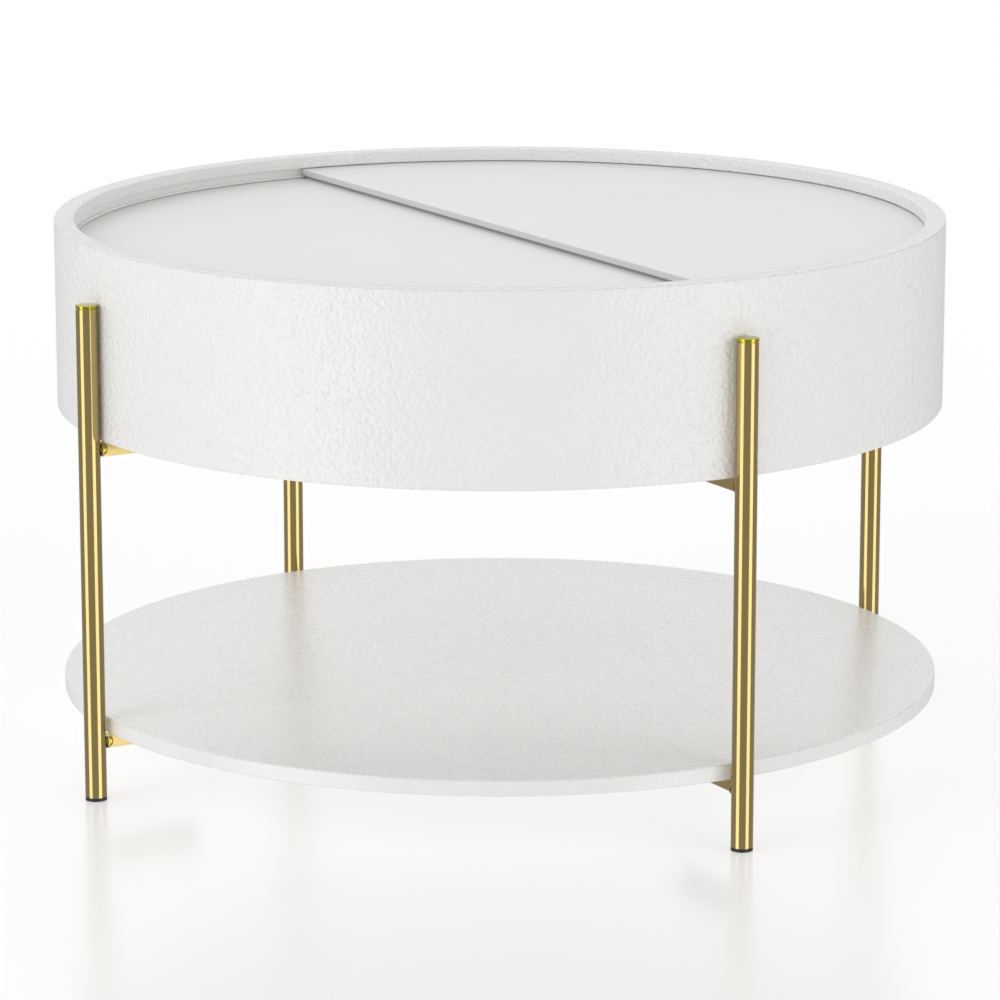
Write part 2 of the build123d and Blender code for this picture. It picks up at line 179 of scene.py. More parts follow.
class DrumTableColours(bpy.types.PropertyGroup):
    """Colours of the finishes."""

    leather: FloatVectorProperty(
        name="Leather",
        description="White imitation leather on the drum, shelf and lids",
        default=linear("#EEEEED"),
        subtype="COLOR",
    )
    # Painted shade: this grey goes on the upper lid's straight edge face, which looks along -X, to darken it
    # as shade would
    painted_edge_shade: FloatVectorProperty(
        name="Edge band",
        description="Light grey edge band on the upper lid's straight edge",
        default=linear("#D4D4D2"),
        subtype="COLOR",
    )
    board: FloatVectorProperty(
        name="Board",
        description="White facing of the bare boards",
        default=linear("#ECECEA"),
        subtype="COLOR",
    )
    gold: FloatVectorProperty(
        name="Gold",
        description="Gold plating of the tubes and brackets",
        default=linear("#B6A26C"),
        subtype="COLOR",
    )
    cap_gold: FloatVectorProperty(
        name="Cap gold",
        description="Yellower gold plating of the caps and bolts",
        default=linear("#B0A62C"),
        subtype="COLOR",
    )
    foot: FloatVectorProperty(
        name="Foot",
        description="Black plastic of the feet",
        default=linear("#1B1A1A"),
        subtype="COLOR",
    )
    felt: FloatVectorProperty(
        name="Felt",
        description="Grey felt of the glide strips",
        default=linear("#8F8E8B"),
        subtype="COLOR",
    )


class DrumTableStudio(bpy.types.PropertyGroup):
    """The camera, the light and the floor."""

    camera_turn: FloatProperty(
        name="Camera turn",
        description="Camera's heading about the table's axis",
        default=math.radians(-30.0),
        subtype="ANGLE",
    )
    camera_tilt: FloatProperty(
        name="Camera tilt",
        description="How far the camera looks down",
        default=math.radians(12.836),
        subtype="ANGLE",
    )
    camera_distance: FloatProperty(
        name="Camera distance",
        description="Level distance from the table's axis to the camera",
        default=4.1008,
        unit="LENGTH",
    )
    camera_height: FloatProperty(
        name="Camera height",
        description="Height of the camera over the floor",
        default=1.1577,
        unit="LENGTH",
    )
    lens: FloatProperty(
        name="Lens",
        description="Focal length on a 36 mm wide sensor, in millimetres",
        default=165.87,
    )
    fill_light: FloatProperty(
        name="Fill light",
        description="Brightness of the white studio walls as light",
        default=1.05,
    )
    fill_front: FloatProperty(
        name="Fill from the front",
        description="How much brighter the walls behind the camera are than the mean",
        default=-0.2,
    )
    fill_right: FloatProperty(
        name="Fill from the right",
        description="How much brighter the walls on the camera's right are than the mean",
        default=-0.16,
    )
    fill_top: FloatProperty(
        name="Fill from above",
        description="How much brighter the ceiling is than the mean",
        default=-0.6,
    )
    left_strip: FloatProperty(
        name="Left strip light",
        description="Light that the tall strip light on the camera's left gives",
        default=1.6,
    )
    right_strip: FloatProperty(
        name="Right strip light",
        description="Light that the tall strip light on the camera's right gives",
        default=1.5,
    )
    floor_glow: FloatProperty(
        name="Floor glow",
        description="Light that the translucent floor gives from below",
        default=0.42,
    )
    strip_light: FloatProperty(
        name="Strip lights",
        description="Brightness of the two tall strip lights, as shiny surfaces reflect them",
        default=2.4,
    )
    mirror_low: FloatProperty(
        name="Mirrored flags",
        description="Brightness of the dark flags between the strip lights",
        default=0.45,
    )
    mirror_wall: FloatProperty(
        name="Mirrored walls",
        description="Brightness of the walls just above the floor, as shiny surfaces reflect them",
        default=0.95,
    )
    mirror_ceiling: FloatProperty(
        name="Mirrored ceiling",
        description="Brightness of the ceiling and upper walls, as shiny surfaces reflect them",
        default=2.0,
    )


# ------------------------------------------------------------------ node helper


def add_node(tree, kind, inputs=None, **settings):
    """Adds one node with its settings, and sets or links its inputs by name or number."""
    node = tree.nodes.new(kind)
    for name, value in settings.items():
        setattr(node, name, value)
    for socket, value in (inputs or {}).items():
        if isinstance(value, bpy.types.NodeSocket):
            tree.links.new(value, node.inputs[socket])
        else:
            node.inputs[socket].default_value = value
    return node


def new_material(name, roughness, colour, **sockets):
    """A material with one Principled shader; returns (material, tree, shader)."""
    material = bpy.data.materials.new(name)
    material.use_nodes = True
    tree = material.node_tree
    shader = tree.nodes["Principled BSDF"]
    shader.inputs["Base Color"].default_value = (*colour, 1.0)
    shader.inputs["Roughness"].default_value = roughness
    for socket, value in sockets.items():
        shader.inputs[socket.replace("_", " ")].default_value = value
    return material, tree, shader


# ------------------------------------------------------------------ materials


def imitation_leather(name, colours, grain_mm, relief_mm, roughness):
    """PU coated cloth, embossed by a grained roller: shallow pebbles parted by creases, with a
    finer pore grain over them, semi-gloss on the pebbles and duller in the creases."""
    material, tree, shader = new_material(name, roughness, colours.leather, IOR=1.5)
    place = add_node(tree, "ShaderNodeTexCoord")
    drift = add_node(
        tree,
        "ShaderNodeTexNoise",
        {"Vector": place.outputs["Object"], "Scale": 0.6 / (grain_mm * MM), "Detail": 2.0},
    )
    shifted = add_node(
        tree,
        "ShaderNodeMixRGB",
        {"Fac": 0.004, "Color1": place.outputs["Object"], "Color2": drift.outputs["Color"]},
        blend_type="ADD",
    )
    pebbles = add_node(
        tree,
        "ShaderNodeTexVoronoi",
        {"Vector": shifted.outputs[0], "Scale": 1 / (grain_mm * MM), "Smoothness": 0.6},
        feature="SMOOTH_F1",
    )
    creases = add_node(
        tree,
        "ShaderNodeTexNoise",
        {"Vector": shifted.outputs[0], "Scale": 0.8 / (grain_mm * MM), "Detail": 3.0, "Roughness": 0.55},
    )
    pores = add_node(
        tree,
        "ShaderNodeTexNoise",
        {"Vector": place.outputs["Object"], "Scale": 1 / (0.7 * MM), "Detail": 1.0},
    )
    swell = add_node(
        tree,
        "ShaderNodeTexNoise",
        {"Vector": place.outputs["Object"], "Scale": 1 / (55 * MM), "Detail": 2.0},
    )
    domes = add_node(
        tree,
        "ShaderNodeMath",
        {0: pebbles.outputs["Distance"], 1: pebbles.outputs["Distance"]},
        operation="MULTIPLY",
    )
    coarse = add_node(
        tree,
        "ShaderNodeBump",
        {"Height": domes.outputs[0], "Distance": -2 * relief_mm * MM, "Strength": 1.0},
    )
    middle = add_node(
        tree,
        "ShaderNodeBump",
        {
            "Height": creases.outputs["Fac"],
            "Distance": 1.6 * relief_mm * MM,
            "Normal": coarse.outputs["Normal"],
        },
    )
    fine = add_node(
        tree,
        "ShaderNodeBump",
        {
            "Height": pores.outputs["Fac"],
            "Distance": 0.12 * relief_mm * MM,
            "Normal": middle.outputs["Normal"],
        },
    )
    dulling = add_node(
        tree,
        "ShaderNodeMapRange",
        {
            "Value": creases.outputs["Fac"],
            "From Min": 0.3,
            "From Max": 0.7,
            "To Min": roughness + 0.03,
            "To Max": roughness - 0.03,
        },
    )
    tone = add_node(
        tree,
        "ShaderNodeMapRange",
        {"Value": swell.outputs["Fac"], "From Min": 0.3, "From Max": 0.7, "To Min": 0.985, "To Max": 1.0},
    )
    tinted = add_node(
        tree,
        "ShaderNodeVectorMath",
        {0: colours.leather, "Scale": tone.outputs["Result"]},
        operation="SCALE",
    )
    tree.links.new(tinted.outputs["Vector"], shader.inputs["Base Color"])
    tree.links.new(dulling.outputs["Result"], shader.inputs["Roughness"])
    tree.links.new(fine.outputs["Normal"], shader.inputs["Normal"])
    return material


def gold_plated_tube(colours):
    """Drawn steel tube, polished along its length and gold plated: a crisp mirror across the
    tube that is drawn out a little along it by the polishing lines."""
    material, tree, shader = new_material("gold_plated_tube", 0.16, colours.gold, Metallic=1.0)
    place = add_node(tree, "ShaderNodeTexCoord")
    drawn = add_node(
        tree, "ShaderNodeMapping", {"Vector": place.outputs["Object"], "Scale": (1.0, 1.0, 0.01)}
    )
    lines = add_node(
        tree,
        "ShaderNodeTexNoise",
        {"Vector": drawn.outputs["Vector"], "Scale": 1 / (0.5 * MM), "Detail": 3.0},
    )
    wear = add_node(
        tree,
        "ShaderNodeTexNoise",
        {"Vector": place.outputs["Object"], "Scale": 1 / (30 * MM), "Detail": 3.0},
    )
    gloss = add_node(
        tree,
        "ShaderNodeMapRange",
        {"Value": wear.outputs["Fac"], "From Min": 0.3, "From Max": 0.7, "To Min": 0.1, "To Max": 0.14},
    )
    bump = add_node(tree, "ShaderNodeBump", {"Height": lines.outputs["Fac"], "Distance": 0.0006 * MM})
    tree.links.new(gloss.outputs["Result"], shader.inputs["Roughness"])
    tree.links.new(bump.outputs["Normal"], shader.inputs["Normal"])
    return material


def grained(shading, grain_mm, detail=2.0, relief_mm=0.0, gloss=None, drawn=(1, 1, 1), distortion=0.0):
    """Gives a material one noise grain of a size, as its relief, its uneven gloss or both."""
    material, tree, shader = shading
    place = add_node(tree, "ShaderNodeTexCoord")
    run = add_node(tree, "ShaderNodeMapping", {"Vector": place.outputs["Object"], "Scale": drawn})
    grain = add_node(
        tree,
        "ShaderNodeTexNoise",
        {
            "Vector": run.outputs["Vector"],
            "Scale": 1 / (grain_mm * MM),
            "Detail": detail,
            "Distortion": distortion,
        },
    ).outputs["Fac"]
    if gloss:
        ends = {"From Min": 0.3, "From Max": 0.7, "To Min": gloss[0], "To Max": gloss[1]}
        uneven = add_node(tree, "ShaderNodeMapRange", {"Value": grain, **ends})
        tree.links.new(uneven.outputs["Result"], shader.inputs["Roughness"])
    if relief_mm:
        bump = add_node(tree, "ShaderNodeBump", {"Height": grain, "Distance": relief_mm * MM})
        tree.links.new(bump.outputs["Normal"], shader.inputs["Normal"])
    return material


def gold_plated_turning(colours):
    """Turned and plated small parts, the caps and bolts: yellower than the tubes, with the fine
    orange peel of barrel plating."""
    shading = new_material("gold_plated_turning", 0.1, colours.cap_gold, Metallic=1.0)
    return grained(shading, 0.6, relief_mm=0.003)


def gold_plated_plate(colours):
    """Cold rolled plate, folded, tumbled and gold plated: satin, with soft rolling marks."""
    shading = new_material("gold_plated_plate", 0.34, colours.gold, Metallic=1.0)
    return grained(shading, 1.2, detail=4.0, relief_mm=0.01, gloss=(0.28, 0.38))


def faced_board(colours):
    """Fibreboard with a white melamine facing pressed on: satin, with a faint pressed stipple."""
    shading = new_material("faced_board", 0.45, colours.board, IOR=1.5)
    return grained(shading, 1.5, detail=3.0, relief_mm=0.02, gloss=(0.4, 0.5))


def painted_edge_shade(colours):
    """Satin finish with faint lines along it, in a grey that is painted shade: it darkens the upper lid's
    straight edge face, which looks along -X.
    """
    shading = new_material("painted_edge_shade", 0.4, colours.painted_edge_shade, IOR=1.5)
    return grained(shading, 0.8, relief_mm=0.02, drawn=(1.0, 0.05, 1.0))


def moulded_foot(colours):
    """Injection moulded black polyethylene with a fine spark eroded texture."""
    shading = new_material("moulded_foot", 0.5, colours.foot, IOR=1.49)
    return grained(shading, 0.4, relief_mm=0.03)


def pressed_felt(colours):
    """Pressed wool felt: matted fibres, no gloss. The fibres are drawn 0.8 mm long to show."""
    shading = new_material("pressed_felt", 0.95, colours.felt, IOR=1.45, Sheen_Weight=0.4)
    return grained(shading, 0.8, detail=4.0, relief_mm=0.2, distortion=1.5)


def zinc_plated(colour=linear("#C3C6CA")):
    """Bright zinc on steel screws and nuts: bluish, softly cloudy."""
    shading = new_material("zinc_plated", 0.3, colour, Metallic=1.0)
    return grained(shading, 3, detail=3.0, gloss=(0.24, 0.38))


finishes = {}


def make_finishes(colours):
    """Every finish of the table, made once and kept by name."""
    finishes["drum_leather"] = imitation_leather("drum_leather", colours, 3.6, 0.45, 0.24)
    finishes["lid_leather"] = imitation_leather("lid_leather", colours, 2.6, 0.03, 0.46)
    finishes["shelf_leather"] = imitation_leather("shelf_leather", colours, 4.0, 0.022, 0.28)
    # The edge finish's grey is painted shade for the upper lid's straight edge
    finishes["painted_edge_shade"] = painted_edge_shade(colours)
    finishes["tube"] = gold_plated_tube(colours)
    finishes["turning"] = gold_plated_turning(colours)
    finishes["plate"] = gold_plated_plate(colours)
    finishes["board"] = faced_board(colours)
    finishes["foot"] = moulded_foot(colours)
    finishes["felt"] = pressed_felt(colours)
    finishes["zinc"] = zinc_plated()


def finish(name):
    """A finish by name; the first call makes them all."""
    if not finishes:
        make_finishes(bpy.context.scene.drum_table_colours)
    return finishes[name]


# ------------------------------------------------------------------ mesh helpers


def link(name, mesh, material, smooth_angle=35.0):
    """A piece at the origin from a mesh, shaded smooth up to an angle in degrees."""
    mesh.materials.clear()
    mesh.materials.append(material)
    mesh.shade_smooth()
    mesh.set_sharp_from_angle(angle=math.radians(smooth_angle))
    piece = bpy.data.objects.new(name, mesh)
    bpy.context.scene.collection.objects.link(piece)
    return piece


def corner_arc(centre, radius, start, end, steps=6):
    """Points (r, z) round a corner, from one angle to another in degrees."""
    points = []
    for k in range(steps + 1):
        turn = math.radians(start + (end - start) * k / steps)
        points.append((centre[0] + radius * math.cos(turn), centre[1] + radius * math.sin(turn)))
    return points


def creased_corner(centre, radius, start, end, crease):
    """A rounded corner with a fine crease along its middle, where two skins meet."""
    middle = (start + end) / 2
    half = math.copysign(CREASE_HALF_ANGLE, end - start)
    turn = math.radians(middle)
    deep = radius - crease
    floor = (centre[0] + deep * math.cos(turn), centre[1] + deep * math.sin(turn))
    before = corner_arc(centre, radius, start, middle - half, 3)
    return before + [floor] + corner_arc(centre, radius, middle + half, end, 3)


def write_out(bm, mesh):
    """Turns a working mesh's faces outward and ends it in a mesh."""
    bmesh.ops.recalc_face_normals(bm, faces=bm.faces)
    bm.to_mesh(mesh)
    bm.free()
    return mesh


def lathe(name, section, material, steps=ROUND_STEPS):
    """A closed section of (r, z) points, turned about the table's axis."""
    mesh = bpy.data.meshes.new(name)
    bm = bmesh.new()
    rings = []
    for k in range(steps):
        turn = 2 * math.pi * k / steps
        rings.append(
            [bm.verts.new((r * math.cos(turn), r * math.sin(turn), z)) for r, z in section]
        )
    count = len(section)
    for k, ring in enumerate(rings):
        following = rings[(k + 1) % steps]
        for i in range(count):
            j = (i + 1) % count
            bm.faces.new((ring[i], following[i], following[j], ring[j]))
    bmesh.ops.remove_doubles(bm, verts=bm.verts, dist=0.001 * MM)
    return link(name, write_out(bm, mesh), material)


def apply_modifiers(piece):
    """Turns a piece's modifiers into its plain mesh."""
    depsgraph = bpy.context.evaluated_depsgraph_get()
    mesh = bpy.data.meshes.new_from_object(piece.evaluated_get(depsgraph))
    piece.modifiers.clear()
    piece.data = mesh


def bevel(piece, width, segments=3, angle=30.0):
    """Rounds a piece's sharp edges."""
    modifier = piece.modifiers.new("edges", "BEVEL")
    modifier.width = width
    modifier.segments = segments
    modifier.limit_method = "ANGLE"
    modifier.angle_limit = math.radians(angle)
    modifier.harden_normals = False
    apply_modifiers(piece)
    piece.data.shade_smooth()
    piece.data.set_sharp_from_angle(angle=math.radians(40))


def repaint(node, finish_name):
    """Gives a CAD node's own mesh a finish."""
    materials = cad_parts[node].data.materials
    materials.clear()
    materials.append(finish(finish_name))


def settle(piece, body, slot, *nodes):
    """The piece rides on its body and stands for CAD nodes, which it hides; the slot it is given is not used.
    """
    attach(piece, body)
    if nodes:
        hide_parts(*nodes)


# ------------------------------------------------------------------ geometry nodes


def new_tree(name, **inputs):
    """An empty geometry tree with one output and named inputs; returns (tree, given values)."""
    tree = bpy.data.node_groups.new(name, "GeometryNodeTree")
    tree.interface.new_socket("Geometry", in_out="OUTPUT", socket_type="NodeSocketGeometry")
    for kind, labels in {**inputs, "Material": ["Material"]}.items():
        for label in labels:
            tree.interface.new_socket(label, in_out="INPUT", socket_type=f"NodeSocket{kind}")
    return tree, add_node(tree, "NodeGroupInput").outputs


def place_by_turns(tree, places):
    """Turn of each numbered place on a circle, and the level unit vector to it."""
    index = add_node(tree, "GeometryNodeInputIndex").outputs[0]
    share = add_node(tree, "ShaderNodeMath", {0: 2 * math.pi, 1: places}, operation="DIVIDE")
    turn = add_node(tree, "ShaderNodeMath", {0: index, 1: share.outputs[0]}, operation="MULTIPLY")
    across = add_node(tree, "ShaderNodeMath", {0: turn.outputs[0]}, operation="COSINE")
    along = add_node(tree, "ShaderNodeMath", {0: turn.outputs[0]}, operation="SINE")
    unit = add_node(tree, "ShaderNodeCombineXYZ", {"X": across.outputs[0], "Y": along.outputs[0]})
    return index, turn.outputs[0], unit.outputs[0]


def deal_out(tree, given, count, position, copied):
    """Ends a tree: copies one thing to each place, makes the copies real and dresses them."""
    places = add_node(tree, "GeometryNodePoints", {"Count": count, "Position": position})
    copies = add_node(
        tree, "GeometryNodeInstanceOnPoints", {"Points": places.outputs[0], **copied}
    )
    real = add_node(tree, "GeometryNodeRealizeInstances", {"Geometry": copies.outputs[0]})
    dressed = add_node(
        tree, "GeometryNodeSetMaterial", {"Geometry": real.outputs[0], "Material": given["Material"]}
    )
    add_node(tree, "NodeGroupOutput", {0: dressed.outputs[0]})
    return tree


def turned_tree():
    """Rounded rings or discs turned about an upright axis, repeated on a circle: the section
    is a box between two radii whose outer corners are rounded."""
    lengths = ["Inner radius", "Outer radius", "Base", "Height"]
    lengths += ["Top rounding", "Foot rounding", "Place circle"]
    tree, given = new_tree("turned_on_a_circle", Float=lengths, Int=["Steps", "Places"])
    width = add_node(
        tree, "ShaderNodeMath", {0: given["Outer radius"], 1: given["Inner radius"]}, operation="SUBTRACT"
    )
    total = add_node(
        tree, "ShaderNodeMath", {0: given["Outer radius"], 1: given["Inner radius"]}, operation="ADD"
    )
    middle = add_node(tree, "ShaderNodeMath", {0: total.outputs[0], 1: 0.5}, operation="MULTIPLY")
    box = add_node(
        tree,
        "GeometryNodeCurvePrimitiveQuadrilateral",
        {"Width": width.outputs[0], "Height": given["Height"]},
    )
    position = add_node(tree, "GeometryNodeInputPosition")
    parts = add_node(tree, "ShaderNodeSeparateXYZ", {0: position.outputs[0]})
    is_outer = add_node(
        tree, "FunctionNodeCompare", {0: parts.outputs["X"], 1: 0.0}, operation="GREATER_THAN"
    )
    is_top = add_node(
        tree, "FunctionNodeCompare", {0: parts.outputs["Y"], 1: 0.0}, operation="GREATER_THAN"
    )
    by_height = add_node(
        tree,
        "GeometryNodeSwitch",
        {"Switch": is_top.outputs[0], "False": given["Foot rounding"], "True": given["Top rounding"]},
        input_type="FLOAT",
    )
    rounding = add_node(
        tree,
        "GeometryNodeSwitch",
        {"Switch": is_outer.outputs[0], "False": 0.0, "True": by_height.outputs[0]},
        input_type="FLOAT",
    )
    section = add_node(
        tree,
        "GeometryNodeFilletCurve",
        {"Curve": box.outputs[0], "Radius": rounding.outputs[0], "Count": 5, "Limit Radius": True},
        mode="POLY",
    )
    path = add_node(
        tree,
        "GeometryNodeCurvePrimitiveCircle",
        {"Resolution": given["Steps"], "Radius": middle.outputs[0]},
        mode="RADIUS",
    )
    swept = add_node(
        tree, "GeometryNodeCurveToMesh", {"Curve": path.outputs[0], "Profile Curve": section.outputs[0]}
    )
    closed = add_node(
        tree, "GeometryNodeMergeByDistance", {"Geometry": swept.outputs[0], "Distance": 0.002 * MM}
    )
    neighbours = add_node(tree, "GeometryNodeInputMeshEdgeNeighbors")
    is_loose = add_node(
        tree,
        "FunctionNodeCompare",
        {"A": neighbours.outputs[0], "B": 0},
        data_type="INT",
        operation="EQUAL",
    )
    clean = add_node(
        tree,
        "GeometryNodeDeleteGeometry",
        {"Geometry": closed.outputs[0], "Selection": is_loose.outputs[0]},
        domain="EDGE",
        mode="EDGE_FACE",
    )
    half = add_node(tree, "ShaderNodeMath", {0: given["Height"], 1: 0.5}, operation="MULTIPLY")
    lift = add_node(tree, "ShaderNodeMath", {0: half.outputs[0], 1: given["Base"]}, operation="ADD")
    raised = add_node(tree, "ShaderNodeCombineXYZ", {"Z": lift.outputs[0]})
    piece = add_node(
        tree,
        "GeometryNodeTransform",
        {"Geometry": clean.outputs[0], "Translation": raised.outputs[0]},
    )
    _, _, unit = place_by_turns(tree, given["Places"])
    place = add_node(
        tree, "ShaderNodeVectorMath", {0: unit, "Scale": given["Place circle"]}, operation="SCALE"
    )
    return deal_out(tree, given, given["Places"], place.outputs[0], {"Instance": piece.outputs[0]})


def leg_fastener_tree():
    """Copies of one fastener about the table's axis, one at each leg, at two heights. The
    fastener is modelled at the origin with its head on the inner side of a leg on +X."""
    tree, given = new_tree(
        "fasteners_at_the_legs",
        Geometry=["Fastener"],
        Float=["Radius", "Upper height", "Lower height"],
        Int=["Legs"],
    )
    count = add_node(tree, "ShaderNodeMath", {0: given["Legs"], 1: 2.0}, operation="MULTIPLY")
    index, turn, unit = place_by_turns(tree, given["Legs"])
    is_lower = add_node(tree, "ShaderNodeMath", {0: index, 1: given["Legs"]}, operation="LESS_THAN")
    height = add_node(
        tree,
        "ShaderNodeMix",
        {"Factor": is_lower.outputs[0], "A": given["Upper height"], "B": given["Lower height"]},
        data_type="FLOAT",
    )
    level = add_node(
        tree, "ShaderNodeVectorMath", {0: unit, "Scale": given["Radius"]}, operation="SCALE"
    )
    raised = add_node(tree, "ShaderNodeCombineXYZ", {"Z": height.outputs[0]})
    place = add_node(
        tree, "ShaderNodeVectorMath", {0: level.outputs[0], 1: raised.outputs[0]}, operation="ADD"
    )
    heading = add_node(tree, "ShaderNodeCombineXYZ", {"Z": turn})
    copied = {"Instance": given["Fastener"], "Rotation": heading.outputs[0]}
    return deal_out(tree, given, count.outputs[0], place.outputs[0], copied)


def grow(name, tree, values, material, start_mesh=None):
    """Runs a geometry tree with named values and returns the plain piece it makes."""
    seed = bpy.data.objects.new(name, start_mesh or bpy.data.meshes.new(name))
    bpy.context.scene.collection.objects.link(seed)
    modifier = seed.modifiers.new("grow", "NODES")
    modifier.node_group = tree
    sockets = {s.name: s.identifier for s in tree.interface.items_tree if s.in_out == "INPUT"}
    for label, value in {**values, "Material": material}.items():
        modifier[sockets[label]] = value
    depsgraph = bpy.context.evaluated_depsgraph_get()
    mesh = bpy.data.meshes.new_from_object(seed.evaluated_get(depsgraph))
    bpy.data.objects.remove(seed)
    bm = bmesh.new()
    bm.from_mesh(mesh)
    mesh.name = name
    return link(name, write_out(bm, mesh), material)


def tree_named(name, maker):
    """A geometry tree by name, made on first use."""
    return bpy.data.node_groups.get(name) or maker()


def turned(name, material, **values):
    """One turned piece, or several on a circle."""
    labels = {key.replace("_", " ").capitalize(): value for key, value in values.items()}
    settings = {
        "Inner radius": 0.0,
        "Top rounding": 0.0,
        "Foot rounding": 0.0,
        "Place circle": 0.0,
        "Steps": ROUND_STEPS,
        "Places": 1,
        **labels,
    }
    return grow(name, tree_named("turned_on_a_circle", turned_tree), settings, material)


# ------------------------------------------------------------------ operators


def wrapped_side(outer, top, bottom, sizes, foot_crease):
    """The part of a skin's section that goes down a board's side, in below it, and back up."""
    round_out, round_in = sizes.edge_rounding, sizes.edge_rounding - sizes.skin
    head = (outer - round_out, top - round_out)
    foot = (outer - round_out, bottom + round_out)
    section = creased_corner(head, round_out, 90, 0, sizes.crease)
    if foot_crease:
        section += creased_corner(foot, round_out, 0, -90, sizes.crease)
    else:
        section += corner_arc(foot, round_out, 0, -90)
    section += [(sizes.turn_in, bottom), (sizes.turn_in, bottom + sizes.skin)]
    section += corner_arc(foot, round_in, -90, 0)
    section += corner_arc(head, round_in, 0, 90)
    return section


class DRUMTABLE_OT_cover_drum(bpy.types.Operator):
    """Stretches the imitation leather over the drum's hoop and rim"""

    bl_idname = "drum_table.cover_drum"
    bl_label = "Cover Drum"

    def execute(self, context):
        sizes = context.scene.drum_table_sizes
        low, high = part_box("drum_cover")
        lip_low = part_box("upper_lid")[1].z + LIP_GAP
        inner = high.x - RIM_WIDTH
        lip = (inner + sizes.edge_rounding, high.z - sizes.edge_rounding)
        section = [(inner, lip_low)]
        section += corner_arc(lip, sizes.edge_rounding, 180, 90)
        section += wrapped_side(high.x, high.z, low.z, sizes, foot_crease=True)
        section += corner_arc(lip, sizes.edge_rounding - sizes.skin, 90, 180)
        section += [(inner + sizes.skin, lip_low)]
        cover = lathe("drum_leather_cover", section, finish("drum_leather"))
        settle(cover, "table", "skin", "drum_cover")
        return {"FINISHED"}


class DRUMTABLE_OT_line_drum(bpy.types.Operator):
    """Makes the hoop's inside, the tracks and the store's linings smooth and faced"""

    bl_idname = "drum_table.line_drum"
    bl_label = "Line Drum"

    def execute(self, context):
        for node, inner in (("track_rib", RIB_INNER), ("liner_band", LINER_INNER)):
            low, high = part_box(node)
            ring = turned(
                f"{node}_faced",
                finish("board"),
                inner_radius=inner,
                outer_radius=high.x,
                base=low.z,
                height=high.z - low.z,
            )
            settle(ring, "table", "board", node)
        for node in ("drum_hoop", "track_stops", "drum_floor", "divider"):
            repaint(node, "board")
        return {"FINISHED"}


class DRUMTABLE_OT_cover_shelf(bpy.types.Operator):
    """Covers the shelf with imitation leather"""

    bl_idname = "drum_table.cover_shelf"
    bl_label = "Cover Shelf"

    def execute(self, context):
        sizes = context.scene.drum_table_sizes
        low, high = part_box("shelf_cover")
        side = wrapped_side(high.x, high.z, low.z, sizes, foot_crease=False)
        section = [(0, high.z), *side, (0, high.z - sizes.skin)]
        cover = lathe("shelf_leather_cover", section, finish("shelf_leather"))
        cover.visible_glossy = False
        settle(cover, "table", "skin", "shelf_cover")
        repaint("shelf", "board")
        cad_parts["shelf"].visible_glossy = False
        return {"FINISHED"}


def half_moon_outline(radius, side, lap, lap_reach):
    """Outline points of a lid: a half circle on one side of the seam, and any lap past it."""
    steps = ROUND_STEPS // 2
    first = -90 if side > 0 else 90
    points = []
    for k in range(steps + 1):
        turn = math.radians(first + 180 * k / steps)
        points.append((radius * math.cos(turn), radius * math.sin(turn)))
    if lap:
        corners = [(0, lap_reach), (lap, lap_reach), (lap, -lap_reach), (0, -lap_reach)]
        points += [(x, -y) for x, y in corners]
    return points


class DRUMTABLE_OT_cover_lids(bpy.types.Operator):
    """Covers the two half-moon lids with finer grained imitation leather"""

    bl_idname = "drum_table.cover_lids"
    bl_label = "Cover Lids"

    def execute(self, context):
        sizes = context.scene.drum_table_sizes
        for node, side, body in (
            ("upper_lid_cover", 1, "upper_lid_body"),
            ("lower_lid_cover", -1, "lower_lid_body"),
        ):
            low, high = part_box(node)
            lap = high.x if side < 0 else 0
            outline = half_moon_outline(high.y, side, lap, sizes.lap_reach)
            mesh = bpy.data.meshes.new(node)
            bm = bmesh.new()
            face = bm.faces.new([bm.verts.new((x, y, low.z)) for x, y in outline])
            grown = bmesh.ops.extrude_face_region(bm, geom=[face])
            for item in grown["geom"]:
                if isinstance(item, bmesh.types.BMVert):
                    item.co.z = high.z
            write_out(bm, mesh)
            lid = link(f"{node[:5]}_lid_leather_cover", mesh, finish("lid_leather"))
            bevel(lid, sizes.lid_rounding, angle=50.0)
            if side > 0:
                # The straight edge gets painted shade
                self.paint_shade_on_straight_edge(lid)
            settle(lid, body, "skin", node, node.removesuffix("_cover"))
        return {"FINISHED"}

    def paint_shade_on_straight_edge(self, lid):
        """Paints shade onto the flat of the lid's straight edge: the faces that look along -X take the greyer
        finish.
        """
        lid.data.materials.append(finish("painted_edge_shade"))
        for face in lid.data.polygons:
            # Faces that look along -X take the grey finish: painted shade on the lid's straight edge
            if face.normal.x < -0.99:
                face.material_index = 1


class DRUMTABLE_OT_lay_felt(bpy.types.Operator):
    """Gives the two glide strips their felt"""

    bl_idname = "drum_table.lay_felt"
    bl_label = "Lay Felt"

    def execute(self, context):
        for node in ("divider_felt", "seam_felt"):
            repaint(node, "felt")
        return {"FINISHED"}


